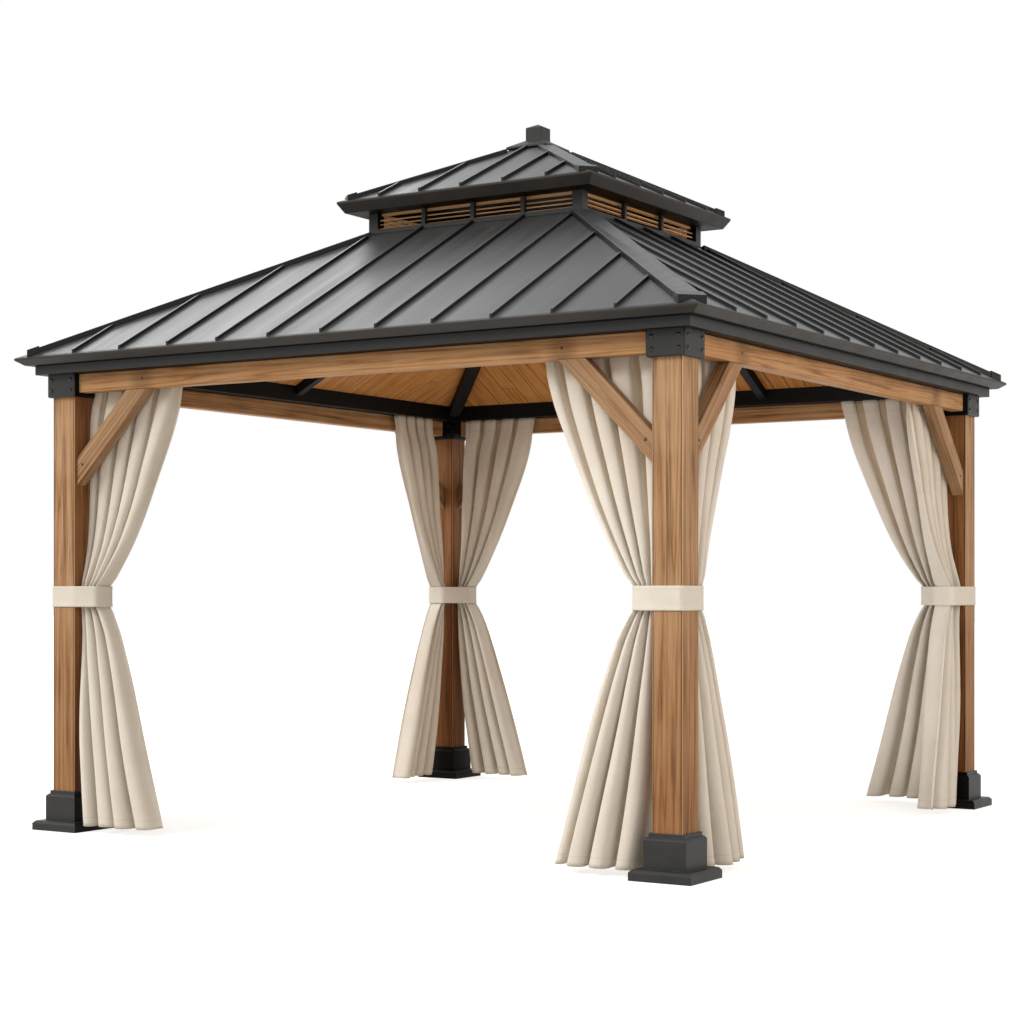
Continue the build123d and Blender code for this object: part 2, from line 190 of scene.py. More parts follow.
# %% Stained cedar
RING_WANDER = 0.090       # distance over which the growth lines bend together, metres
RING_COUNT = 9            # growth lines over that distance
FIBRE = 0.0022            # fibres are finer on the real wood; drawn as coarse as the render can show
STREAK = 0.020            # width of the darker streaks of heartwood
PATCHES = 2.8             # paler patches in a metre
LEAN = math.radians(1.7)  # lean of the grain from the edge of the timber, which makes the arches
RING_DRAW, FIBRE_DRAW, STREAK_DRAW = 0.026, 0.015, 0.035   # stretch along the grain: less is longer
SATIN = 0.55


def stained_cedar(name, grain_of, tones, ring_axis=(0.11, 0.07, 0.0), iron=None, cased=None):
    light, middle, dark, streak = tones
    material, add = new_material(name)
    grain = grain_of(add)
    leaning = add("ShaderNodeMapping", {
        "Vector": grain, "Location": ring_axis, "Rotation": (LEAN, LEAN * 0.6, 0),
        "Scale": (1, 1, RING_DRAW)})
    field = add("ShaderNodeTexNoise", {
        "Vector": leaning, "Scale": 1 / RING_WANDER, "Detail": 1.5, "Roughness": 0.4, "Distortion": 0.3})
    laps = add("ShaderNodeMath", [field, 2.0 * RING_COUNT], operation="MULTIPLY")
    rings = add("ShaderNodeMath", [laps, 1.0], operation="PINGPONG")
    drawn_out = add("ShaderNodeMapping", {"Vector": grain, "Scale": (1, 1, FIBRE_DRAW)})
    fibres = add("ShaderNodeTexNoise", {
        "Vector": drawn_out, "Scale": 1 / FIBRE, "Detail": 3.0, "Roughness": 0.65})
    stretched = add("ShaderNodeMapping", {"Vector": grain, "Scale": (1, 1, STREAK_DRAW)})
    streaks = add("ShaderNodeTexNoise", {
        "Vector": stretched, "Scale": 1 / STREAK, "Detail": 4.0, "Roughness": 0.6, "Distortion": 0.4})
    patches = add("ShaderNodeTexNoise", {"Vector": grain, "Scale": PATCHES, "Detail": 2.0})
    ring_tone = add("ShaderNodeValToRGB", [rings], [(0.0, streak), (0.06, dark), (0.2, middle), (1.0, light)])
    wood = add("ShaderNodeMix", {"Factor": 0.5, "A": ring_tone, "B": linear(middle)}, data_type="RGBA")
    dark_share = add("ShaderNodeValToRGB", [streaks], [(0.5, 0.0), (0.72, 0.8)])
    wood = add("ShaderNodeMix", {"Factor": dark_share, "A": wood, "B": linear(streak)}, data_type="RGBA")
    pale_share = add("ShaderNodeValToRGB", [patches], [(0.4, 0.0), (0.72, 0.5)])
    wood = add("ShaderNodeMix", {"Factor": pale_share, "A": wood, "B": linear(light)}, data_type="RGBA")
    fibre_tone = add("ShaderNodeValToRGB", [fibres], [(0.3, 0.58), (0.6, 1.0)])
    wood = add("ShaderNodeMix", {"Factor": 0.7, "A": wood, "B": fibre_tone},
               data_type="RGBA", blend_type="MULTIPLY")
    if iron:
        wood = iron_marks(add, wood, grain, streaks, streak, iron)
    if cased:
        wood = cased_post(add, wood, grain, cased)
    dry = add("ShaderNodeMapRange", [fibres, 0.0, 1.0, SATIN + 0.16, SATIN - 0.06])
    ridges = add("ShaderNodeBump", {"Strength": 0.4, "Distance": 0.001, "Height": fibres})
    swell = add("ShaderNodeBump", {"Strength": 0.3, "Distance": 0.0015, "Height": rings, "Normal": ridges})
    shader = add("ShaderNodeBsdfPrincipled", {
        "Base Color": wood, "Roughness": dry, "Normal": swell, "Specular IOR Level": 0.18})
    add("ShaderNodeOutputMaterial", {"Surface": shader})
    return material


def paint(name, material):
    """Gives a frame node this material in place of its plain one."""
    NODES[name].data.materials.clear()
    NODES[name].data.materials.append(material)


def middle_of(name):
    low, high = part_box(name)
    return (Vector(low) + Vector(high)) / 2


# %% Posts and beams
POST_TONES = ("#CFAB87", "#AE835B", "#82593A", "#5E4330")
# the beams' tones are paler than the posts': painted light that makes up for the eave's shade on the beams
LIGHTENED_BEAM_TONES = ("#DDB285", "#BF8B5A", "#90613B", "#66452C")
POST_HALF = 0.070
SCREW_REACH = 1.140   # from the middle of a side to the screw in the beam above a brace
for i, corner in enumerate(CORNERS):
    where = middle_of("post_" + corner)
    axis = Matrix.Rotation(i * 1.3, 2) @ Vector((0.12, 0.08))
    paint("post_" + corner, stained_cedar(
        "stained_cedar_post_" + corner, lambda add: turned_grain(add, "Z", where),
        POST_TONES, (axis.x, axis.y, 0.7 * i), cased=POST_HALF))
for i, side in enumerate(SIDES):
    where = middle_of("beam_" + side)
    paint("beam_" + side, stained_cedar(
        "stained_cedar_beam_" + side, lambda add: turned_grain(add, "XY"[i % 2], where),
        LIGHTENED_BEAM_TONES, (0.09, 0.12, 0.9 * i), iron=SCREW_REACH))
print("posts and beams in stained cedar:", len(CORNERS) + len(SIDES))

# %% [markdown]
# ## Powder-coated steel
# The bases, brackets, roof frame and rafters are steel with a black powder coat: a satin film with a faint
# orange-peel skin and a little dust. The coat is a dielectric over metal, so the shader stays non-metallic
# and the film's own gloss does the work. Faces that look in under the roof, or straight down, turn to a
# deeper black with less sheen: painted shade. The rafters under the roof are coated in it all over.

# %% Powder coat
ORANGE_PEEL = 0.004   # the real skin is about 1 mm; drawn coarser so that it shows
DUST_CLOUDS = 7.0     # patches of dust in a metre
SHADE_BLACK, SHADE_SHEEN = "#0C0B0A", 0.1   # painted shade: the black and sheen of faces under the roof, and of the rafters


def powder_coat(name, body, dusty, roughness, specular):
    # A satin film: soft, broad highlights along the edges and a slightly mottled sheen on flat faces.
    material, add = new_material(name)
    here = add("ShaderNodeTexCoord").outputs["Object"]
    peel = add("ShaderNodeTexNoise", {"Vector": here, "Scale": 1 / ORANGE_PEEL, "Detail": 2.0})
    dust = add("ShaderNodeTexNoise", {
        "Vector": here, "Scale": DUST_CLOUDS, "Detail": 6.0, "Roughness": 0.62, "Distortion": 0.3})
    tint = add("ShaderNodeValToRGB", [dust], [(0.35, body), (0.75, dusty)])
    gloss = add("ShaderNodeMapRange", [dust, 0.3, 0.7, roughness - 0.05, roughness + 0.09])
    skin = add("ShaderNodeBump", {"Strength": 0.12, "Distance": 0.0006, "Height": peel})
    # painted shade: inner faces turn to a deeper black with less sheen
    shade_share = painted_shade_mask(add)
    shaded_tint = add("ShaderNodeMix", {"Factor": shade_share, "A": tint, "B": linear(SHADE_BLACK)}, data_type="RGBA")
    sheen = add("ShaderNodeMapRange", [shade_share, 0.0, 1.0, specular, SHADE_SHEEN])
    shader = add("ShaderNodeBsdfPrincipled", {
        "Base Color": shaded_tint, "Roughness": gloss, "Normal": skin, "Specular IOR Level": sheen})
    add("ShaderNodeOutputMaterial", {"Surface": shader})
    return material


steel_nodes = ["post_base_" + c for c in CORNERS] + ["corner_bracket_" + c for c in CORNERS]
steel_nodes += ["roof_frame_" + s for s in SIDES] + ["vent_curb", "vent_frame", "finial"]
rafter_nodes = ["hip_rafters", "common_rafters"]
trim_nodes = ["eave_trim_" + s for s in SIDES] + ["upper_trim"]
for coat, names in (
        (powder_coat("black_powder_coated_steel", "#1A1B1C", "#292A2B", 0.48, 0.35), steel_nodes),
        (powder_coat("bronze_black_trim_coat", "#221F1D", "#312D29", 0.5, 0.3), trim_nodes),
        # the rafters' coat is the painted shade's black all over
        (powder_coat("painted_shade_rafter_coat", SHADE_BLACK, "#181716", 0.55, 0.12), rafter_nodes)):
    for name in names:
        paint(name, coat)
print("coated steel nodes:", len(steel_nodes + rafter_nodes + trim_nodes))

# %% [markdown]
# ## Roof sheet
# The slopes are painted steel sheet with standing seams. Thin sheet never lies quite flat: it bulges a
# little between the seams, which bends the sky's reflection, and rain leaves faint streaks down the slope.
# The bulge is too shallow to model, so a broad bump gives it. Where the sheet turns upright on a seam's
# flanks, the colour darkens as painted shade and the reflection is weakened.

# %% Painted roof sheet
OIL_CANNING = 0.45       # length of the shallow bulges in the sheet, metres
RAIN_STREAKS = 2.5       # streaks in a metre, before they are drawn out
NARROW, LONG = 9.0, 0.35
# painted shade on the seams' upright flanks
SEAM_FLANK_SHADE = "#121314"
FLANK_Z, SLOPE_Z = 0.2, 0.65   # upward part of the normal on a seam's flank and on a slope


def roof_sheet(name, downhill):
    # Satin charcoal paint: dark face-on, pale where it mirrors the sky at a low angle.
    material, add = new_material(name)
    here = add("ShaderNodeTexCoord").outputs["Object"]
    bulge = add("ShaderNodeTexNoise", {"Vector": here, "Scale": 1 / OIL_CANNING, "Detail": 1.0})
    squeeze = (NARROW, LONG, LONG) if downhill == "Y" else (LONG, NARROW, LONG)
    down = add("ShaderNodeMapping", {"Vector": here, "Scale": squeeze})
    rain = add("ShaderNodeTexNoise", {
        "Vector": down, "Scale": RAIN_STREAKS, "Detail": 5.0, "Roughness": 0.6})
    tint = add("ShaderNodeValToRGB", [rain], [(0.3, "#2C2E30"), (0.72, "#37393A")])
    facing = add("ShaderNodeNewGeometry").outputs["Normal"]
    upright = add("ShaderNodeSeparateXYZ", [facing]).outputs["Z"]
    # painted shade and a weaker reflection where the sheet turns upright
    flank = add("ShaderNodeMapRange", [upright, FLANK_Z, SLOPE_Z, 0.9, 0.0])
    painted = add("ShaderNodeMix", {"Factor": flank, "A": tint, "B": linear(SEAM_FLANK_SHADE)}, data_type="RGBA")
    shine = add("ShaderNodeMapRange", [flank, 0.0, 1.0, 0.6, 0.2])
    gloss = add("ShaderNodeMapRange", [rain, 0.3, 0.7, 0.36, 0.46])
    waves = add("ShaderNodeBump", {"Strength": 0.5, "Distance": 0.006, "Height": bulge})
    shader = add("ShaderNodeBsdfPrincipled", {
        "Base Color": painted, "Roughness": gloss, "Normal": waves, "Specular IOR Level": shine})
    add("ShaderNodeOutputMaterial", {"Surface": shader})
    return material


sheet_front = roof_sheet("charcoal_roof_sheet_front_back", "Y")
sheet_side = roof_sheet("charcoal_roof_sheet_sides", "X")
for i, side in enumerate(SIDES):
    paint("roof_panel_" + side, [sheet_front, sheet_side][i % 2])
for name in ["upper_roof_panels", "hip_caps", "upper_hip_caps"]:
    paint(name, sheet_front)
print("roof slopes painted:", len(SIDES))

# %% [markdown]
# ## Eased edges
# Every folded sheet and sawn timber has slightly rounded edges that catch a line of light. The solid's mesh
# is loose triangles, so Weld joins them first and Bevel then rounds what is sharper than the angle. Both
# stay live as modifiers, and the solid itself is not changed. The upper roof's sheets are left sharp,
# because a bevel shades their long triangles unevenly.

# %% Weld and bevel on the frame nodes
MERGE, SHARP = 0.00002, math.radians(25)
EASED = {0.0035: ["post_" + c for c in CORNERS] + ["beam_" + s for s in SIDES],
         0.0025: steel_nodes + rafter_nodes + ["hip_caps", "upper_hip_caps"],
         0.0020: trim_nodes + ["roof_panel_" + s for s in SIDES]}
for width, names in EASED.items():
    for name in names:
        weld = NODES[name].modifiers.new("joined", "WELD")
        weld.merge_threshold = MERGE
        ease = NODES[name].modifiers.new("eased edges", "BEVEL")
        ease.width = width
        ease.segments = 2
        ease.limit_method = "ANGLE"
        ease.angle_limit = SHARP
        ease.use_clamp_overlap = True
        ease.harden_normals = True
print("nodes with eased edges:", sum(len(n) for n in EASED.values()))

# %% [markdown]
# ## Knee braces
# Eight short timbers stand at 45 degrees between post and beam. They are one solid in the frame, so one
# pattern on its coordinates could not follow eight directions. Here each brace is made again as its own
# timber with eased edges, and stores its own coordinates (across, through, along) for the grain to follow.

# %% Timbers that store their own grain
GRAIN_ASIDE, GRAIN_ALONG = 0.05, 40   # how far apart two timbers are cut from the same pattern of grain
chance = random.Random(7)


def add_prism(bm, outline, depth, ease, grain, frame_of_grain):
    """Adds a prism over an outline, eases its edges and stores its grain coordinates."""
    fresh = bmesh.new()
    low = [fresh.verts.new(p) for p in outline]
    high = [fresh.verts.new(Vector(p) + Vector(depth)) for p in outline]
    fresh.faces.new(low)
    fresh.faces.new(list(reversed(high)))
    for i in range(len(low)):
        j = (i + 1) % len(low)
        fresh.faces.new([low[j], low[i], high[i], high[j]])
    bmesh.ops.recalc_face_normals(fresh, faces=fresh.faces)
    bmesh.ops.bevel(fresh, geom=fresh.edges, offset=ease, segments=2, profile=0.6, affect="EDGES")
    aside = [chance.uniform(-GRAIN_ASIDE, GRAIN_ASIDE) for _ in range(2)]
    shift = Vector((*aside, chance.uniform(0, GRAIN_ALONG)))
    fresh.verts.index_update()
    new = [bm.verts.new(v.co) for v in fresh.verts]
    for v, made in zip(fresh.verts, new):
        made[grain] = frame_of_grain @ v.co + shift
    for face in fresh.faces:
        bm.faces.new([new[v.index] for v in face.verts])
    fresh.free()


def put(name, data):
    """A new object in the scene, at the origin."""
    made = bpy.data.objects.new(name, data)
    bpy.context.collection.objects.link(made)
    return made


def piece_from(bm, name, material, stands_for):
    """Turns a bmesh into a finished piece that rides on the gazebo."""
    mesh = bpy.data.meshes.new(name)
    bm.to_mesh(mesh)
    bm.free()
    mesh.materials.append(material)
    piece = put(name, mesh)
    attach(piece, "root")
    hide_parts(stands_for)


# %% Eight braces
QUARTER = [Matrix.Rotation(i * math.pi / 2, 4, "Z") for i in range(4)]
POST_LINE, BEAM_BOTTOM = 1.630, 2.096
BRACE_NEAR, BRACE_FAR, BRACE_OUT, BRACE_IN, BRACE_EASE = 0.316, 0.444, 0.054, 0.006, 0.003
BRACE_TONES = ("#C09F7E", "#A27A55", "#795336", "#573E2D")
braces = bmesh.new()
grain = braces.verts.layers.float_vector.new("grain")
face_x = POST_LINE - POST_HALF
for quarter in QUARTER:
    for hand in (1, -1):
        outline = [(face_x, BEAM_BOTTOM - BRACE_NEAR), (face_x, BEAM_BOTTOM - BRACE_FAR),
                   (face_x - BRACE_FAR, BEAM_BOTTOM), (face_x - BRACE_NEAR, BEAM_BOTTOM)]
        points = [quarter @ Vector((hand * x, -POST_LINE + BRACE_IN, z)) for x, z in outline]
        depth = quarter.to_3x3() @ Vector((0, -BRACE_OUT - BRACE_IN, 0))
        along = (quarter.to_3x3() @ Vector((-hand, 0, 1))).normalized()
        through = depth.normalized()
        timber = Matrix((along.cross(through), through, along))
        add_prism(braces, points, depth, BRACE_EASE, grain, timber.to_4x4())
brace_cedar = stained_cedar("stained_cedar_braces", stored_grain, BRACE_TONES, (0.06, 0.05, 0.0))
piece_from(braces, "knee_brace_timbers", brace_cedar, "knee_braces")
print("knee braces: 8")

# %% [markdown]
# ## Ceiling boards
# Under the roof sheet lies a lining of narrow boards that run up the slope, with a small V-groove between
# neighbours and a few butt joints. Boards at a hip are cut along it, which instancing cannot do, so each
# board is its own small prism, cut to the hip line. Every board takes its own piece of grain.

# %% One board of the lining
BOARD, GROOVE, BOARD_EASE = 0.100, 0.0024, 0.003
LINING_OUT, LINING_IN, LINING_RISE, LINING_FOOT = 1.598, 0.616, 0.543, 2.270
LINING_INNER_RAIL, LINING_THICK = 1.535, 0.018
HIP_GAP, SHORT_EDGE, SHORT_BOARD = 0.004, 0.02, 0.03


def lining_height(half):
    return LINING_FOOT + (LINING_INNER_RAIL - half) * LINING_RISE


def board_outline(left, right, low, high):
    """A board from low to high up the slope, cut to a hip; x is across, h is out from the middle."""
    corners = [(left, low), (right, low)]
    hip_left, hip_right = abs(left) + HIP_GAP, abs(right) + HIP_GAP
    if max(high, hip_right) < low - SHORT_EDGE:
        corners.append((right, max(high, hip_right)))
    if min(hip_left, hip_right) < high < max(hip_left, hip_right):
        corners.append((math.copysign(high - HIP_GAP, left + right), high))
    if max(high, hip_left) < low - SHORT_EDGE:
        corners.append((left, max(high, hip_left)))
    return [(max(-low + HIP_GAP, min(low - HIP_GAP, x)), h) for x, h in corners]


# %% Boards of four slopes
# length from which a board may have a butt joint, the share that has one, its least distance from the ends
LONG_BOARD, BUTT_SHARE, BUTT_ROOM = 0.5, 0.4, 0.2
CEILING_TONES = ("#DDA05E", "#C98644", "#A5692F", "#915A27")
ceiling = bmesh.new()
grain = ceiling.verts.layers.float_vector.new("grain")
count = int(round(2 * LINING_OUT / BOARD))
pitch = 2 * LINING_OUT / count
across, slope = Vector((1, 0, 0)), Vector((0, 1, LINING_RISE)).normalized()
boards = 0
for quarter in QUARTER:
    board_frame = Matrix((across, across.cross(slope), slope)) @ quarter.to_3x3().transposed()
    for i in range(count):
        left = -LINING_OUT + i * pitch + GROOVE
        right = -LINING_OUT + (i + 1) * pitch - GROOVE
        top = max(LINING_IN, min(abs(left), abs(right)) + HIP_GAP)
        cuts = [LINING_OUT]
        if LINING_OUT - top > LONG_BOARD and chance.random() < BUTT_SHARE:
            cuts.append(chance.uniform(top + BUTT_ROOM, LINING_OUT - BUTT_ROOM))
        cuts.append(LINING_IN)
        for low, high in zip(cuts, cuts[1:]):
            outline = board_outline(left, right, low - GROOVE / 2, high + GROOVE / 2)
            if len(outline) < 3 or low - top < SHORT_BOARD:
                continue
            points = [quarter @ Vector((x, -h, lining_height(h))) for x, h in outline]
            add_prism(ceiling, points, (0, 0, LINING_THICK), BOARD_EASE, grain, board_frame.to_4x4())
            boards += 1
ceiling_cedar = stained_cedar("stained_cedar_ceiling_boards", stored_grain, CEILING_TONES, (0.05, 0.09, 0.0))
piece_from(ceiling, "ceiling_boards", ceiling_cedar, "ceiling_lining")
print("ceiling boards:", boards)

# %% [markdown]
# ## Louvre slats
# Three thin cedar slats and a plain board close each side of the vent, all alike, so Geometry Nodes repeat
# them: one slat is stacked up a side, and the side is turned four times. Each slat keeps its own
# coordinates for the grain, moved by a seeded amount so that no two slats show the same lines. The tree's
# result is turned into a plain mesh, because an export keeps meshes and drops modifiers of this kind.

# %% Growing a mesh from a node tree
def new_tree(name, sizes):
    """A geometry tree with named inputs, from {name: socket type}."""
    tree = bpy.data.node_groups.new(name, "GeometryNodeTree")
    tree.interface.new_socket("Geometry", in_out="INPUT", socket_type="NodeSocketGeometry")
    for label, kind in sizes.items():
        tree.interface.new_socket(label, in_out="INPUT", socket_type="NodeSocket" + kind)
    tree.interface.new_socket("Geometry", in_out="OUTPUT", socket_type="NodeSocketGeometry")
    add = partial(add_node, tree)
    return tree, add, add("NodeGroupInput").outputs


def grow(name, tree, values, base=None):
    """Runs a tree on a base mesh with these values and returns the result as a plain piece."""
    seedling = put(name + "_base", base or bpy.data.meshes.new(name + "_base"))
    modifier = seedling.modifiers.new("grow", "NODES")
    modifier.node_group = tree
    for item in tree.interface.items_tree:
        if item.in_out == "INPUT" and item.name in values:
            modifier[item.identifier] = values[item.name]
    graph = bpy.context.evaluated_depsgraph_get()
    mesh = bpy.data.meshes.new_from_object(seedling.evaluated_get(graph))
    bpy.data.objects.remove(seedling)
    mesh.name = name
    piece = put(name, mesh)
    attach(piece, "root")
    return piece


# %% Louvre tree
louvre_tree, add, size = new_tree("louvre_sides", {
    "Length": "Float", "Depth": "Float", "Thickness": "Float", "Tilt": "Float", "Slats": "Int",
    "Pitch": "Float", "Line": "Float", "Foot": "Float", "Board Height": "Float", "Board Depth": "Float",
    "Wood": "Material"})
slat_size = add("ShaderNodeCombineXYZ", [size["Length"], size["Depth"], size["Thickness"]])
slat = add("GeometryNodeMeshCube", {"Size": slat_size})
tip = add("ShaderNodeCombineXYZ", {"X": size["Tilt"]})
tipped = add("GeometryNodeTransform", {"Geometry": slat, "Rotation": tip})
start = add("ShaderNodeCombineXYZ", {"Y": size["Line"], "Z": size["Foot"]})
step = add("ShaderNodeCombineXYZ", {"Z": size["Pitch"]})
stack = add("GeometryNodeMeshLine", {"Count": size["Slats"], "Start Location": start, "Offset": step})
slats = add("GeometryNodeInstanceOnPoints", {"Points": stack, "Instance": tipped})
board_size = add("ShaderNodeCombineXYZ", [size["Length"], size["Board Depth"], size["Board Height"]])
board = add("GeometryNodeMeshCube", {"Size": board_size})
rise = add("ShaderNodeMath", [size["Pitch"], size["Slats"], size["Foot"]], operation="MULTIPLY_ADD")
above = add("ShaderNodeMath", [size["Board Height"], 0.5, rise], operation="MULTIPLY_ADD")
board_at = add("ShaderNodeCombineXYZ", {"Y": size["Line"], "Z": above})
raised = add("GeometryNodeTransform", {"Geometry": board, "Translation": board_at})
one_side = add("GeometryNodeJoinGeometry", {"Geometry": [slats, raised]})
corners = add("GeometryNodeMeshLine", {"Count": 4, "Offset": (0.0, 0.0, 0.0)})
order = add("GeometryNodeInputIndex")
quarter_turns = add("ShaderNodeMath", [order, math.pi / 2], operation="MULTIPLY")
turned_by = add("ShaderNodeCombineXYZ", {"Z": quarter_turns})
four = add("GeometryNodeInstanceOnPoints", {"Points": corners, "Instance": one_side, "Rotation": turned_by})
plain = add("GeometryNodeRealizeInstances", {"Geometry": four})

# %% Grain of the slats
# A slat stands further from the vent's middle than half its length, so it runs along the axis on which its
# points lie nearer to the middle in total.
island = add("GeometryNodeInputMeshIsland")
place = add("ShaderNodeSeparateXYZ", [add("GeometryNodeInputPosition")]).outputs
totals = []
for axis in "XY":
    far = add("ShaderNodeMath", [place[axis]], operation="ABSOLUTE")
    totals.append(add("GeometryNodeAccumulateField", {"Value": far, "Group ID": island}).outputs["Total"])
runs_along_x = add("ShaderNodeMath", totals, operation="LESS_THAN")
along, across = [add("GeometryNodeSwitch", {
    "Switch": runs_along_x, "False": place[no], "True": place[yes]}, input_type="FLOAT")
    for no, yes in ("YX", "XY")]
apart = add("FunctionNodeRandomValue", {"Max": 30.0, "ID": island, "Seed": 5}, data_type="FLOAT")
further = add("ShaderNodeMath", [along, apart], operation="ADD")
own = add("ShaderNodeCombineXYZ", [across, place["Z"], further])
kept = add("GeometryNodeStoreNamedAttribute", {
    "Geometry": plain, "Name": "grain", "Value": own}, data_type="FLOAT_VECTOR")
finished = add("GeometryNodeSetMaterial", {"Geometry": kept, "Material": size["Wood"]})
add("NodeGroupOutput", {"Geometry": finished})
print("nodes in the louvre tree:", len(louvre_tree.nodes))

# %% Louvres of the vent
# paler than the other cedar: painted light that makes up for the shade under the vent's eave
LIGHTENED_LOUVRE_TONES = ("#FFD6A2", "#F2BC84", "#C8915C", "#9E6D42")
SLAT_RUN, SLAT_FALL = 0.040, 0.0085
louvres = grow("louvre_slats", louvre_tree, {
    "Length": 1.118, "Depth": math.hypot(SLAT_RUN, SLAT_FALL), "Thickness": 0.0055,
    "Tilt": math.atan2(SLAT_FALL, SLAT_RUN), "Slats": 3, "Pitch": 0.0205, "Line": -0.5725, "Foot": 2.9528,
    "Board Height": 0.0128, "Board Depth": 0.014,
    "Wood": stained_cedar("stained_cedar_louvres", stored_grain, LIGHTENED_LOUVRE_TONES)})
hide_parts("vent_louvres")

# %% [markdown]
# ## Bolts and screws
# Round-headed bolts hold each corner bracket and a screw shows above and at the foot of every brace. All
# are one shape, a low dome on a thin washer, set on points that know which way their face looks. Small
# parts like these are not in the solid model.

# %% Fastener tree
fastener_tree, add, size = new_tree("dome_fasteners", {
    "Head Width": "Float", "Head Height": "Float", "Washer Width": "Float", "Washer Height": "Float",
    "Coat": "Material"})
head_radius = add("ShaderNodeMath", [size["Head Width"], 0.5], operation="MULTIPLY")
dome = add("GeometryNodeMeshUVSphere", {"Segments": 14, "Rings": 8, "Radius": head_radius})
flatten = add("ShaderNodeMath", [size["Head Height"], head_radius], operation="DIVIDE")
squash = add("ShaderNodeCombineXYZ", [1.0, 1.0, flatten])
cap = add("GeometryNodeTransform", {"Geometry": dome, "Scale": squash})
washer_radius = add("ShaderNodeMath", [size["Washer Width"], 0.5], operation="MULTIPLY")
washer = add("GeometryNodeMeshCylinder", {
    "Vertices": 16, "Radius": washer_radius, "Depth": size["Washer Height"]})
both = add("GeometryNodeJoinGeometry", {"Geometry": [cap, washer]})
facing = add("GeometryNodeInputNamedAttribute", {"Name": "facing"}, data_type="FLOAT_VECTOR")
aim = add("FunctionNodeAlignRotationToVector", {"Vector": facing}, axis="Z")
spots = add("GeometryNodeInstanceOnPoints", {"Points": size["Geometry"], "Instance": both, "Rotation": aim})
plain = add("GeometryNodeRealizeInstances", {"Geometry": spots})
smooth = add("GeometryNodeSetShadeSmooth", {"Geometry": plain})
coated = add("GeometryNodeSetMaterial", {"Geometry": smooth, "Material": size["Coat"]})
add("NodeGroupOutput", {"Geometry": coated})


def aimed_points(name, spots):
    """A mesh of loose points that store the direction their face looks, from (place, direction)."""
    mesh = bpy.data.meshes.new(name)
    mesh.from_pydata([tuple(p) for p, _ in spots], [], [])
    look = mesh.attributes.new("facing", "FLOAT_VECTOR", "POINT")
    for entry, (_, way) in zip(look.data, spots):
        entry.vector = way
    return mesh


print("nodes in the fastener tree:", len(fastener_tree.nodes))

# %% Bolts on the brackets and screws on the timbers
BRACKET_HALF, BOLT_ROWS, BOLT_SIDE, INNER_BOLT = 0.089, (2.107, 2.158), 0.028, 0.055
BEAM_OUT = 0.060   # the beam's face, outward from the post line
SCREWS = [(SCREW_REACH, BEAM_OUT, 2.140), (1.524, BRACE_OUT, 1.753)]   # along the side, outward, height
bolt_spots, screw_spots = [], []
for quarter in QUARTER:
    turn = quarter.to_3x3()
    corner = Vector((POST_LINE, -POST_LINE, 0))
    for row in BOLT_ROWS:
        places = []
        for aside in (BRACKET_HALF - BOLT_SIDE, BOLT_SIDE - BRACKET_HALF):
            places += [((aside, -BRACKET_HALF), (0, -1, 0)), ((BRACKET_HALF, aside), (1, 0, 0))]
        places += [((-BRACKET_HALF, INNER_BOLT), (-1, 0, 0)), ((-INNER_BOLT, BRACKET_HALF), (0, 1, 0))]
        for place, way in places:
            bolt_spots.append((quarter @ (corner + Vector((*place, row))), turn @ Vector(way)))
    for hand in (1, -1):
        for reach, out, height in SCREWS:
            place = quarter @ Vector((hand * reach, -POST_LINE - out, height))
            screw_spots.append((place, turn @ Vector((0, -1, 0))))
bolts = grow("bracket_bolts", fastener_tree, {
    "Head Width": 0.015, "Head Height": 0.006, "Washer Width": 0.019, "Washer Height": 0.003,
    "Coat": powder_coat("black_bolt_coat", "#101011", "#1C1C1D", 0.32, 0.5)},
    aimed_points("bolt_places", bolt_spots))
screws = grow("timber_screws", fastener_tree, {
    "Head Width": 0.012, "Head Height": 0.003, "Washer Width": 0.015, "Washer Height": 0.0016,
    "Coat": powder_coat("bronzed_screw_heads", "#3A2F26", "#56483B", 0.35, 0.5)},
    aimed_points("screw_places", screw_spots))
print("bolts:", len(bolt_spots), "screws:", len(screw_spots))

# %% [markdown]
# ## Woven cloth
# The curtains are a natural-coloured woven polyester with a linen look: matt, with slubs (thicker stretches
# of yarn) both ways and a soft bloom of light at the edge of a fold. The cloth's own UV map is in metres,
# so the weave follows every fold. Thin cloth lets some light through, so a little of it is translucent.
# Cloth deep in a fold gets less light, so it is darkened and warmed there as painted shade: the curtains
# store how far each point lies out in its fold, and the colour follows that.

# %% Linen-look cloth
YARN = 0.0022   # real yarns lie 0.5 mm apart; drawn coarser so that the weave shows
DRAWN = 0.06    # stretch of the noise along a yarn: less is longer
CREASES, CREASE_DRAWN = 26.0, 0.07   # soft creases in a metre, and their stretch down the cloth
# painted shade deep in the folds' valleys
VALLEY_SHADE = "#CBB596"


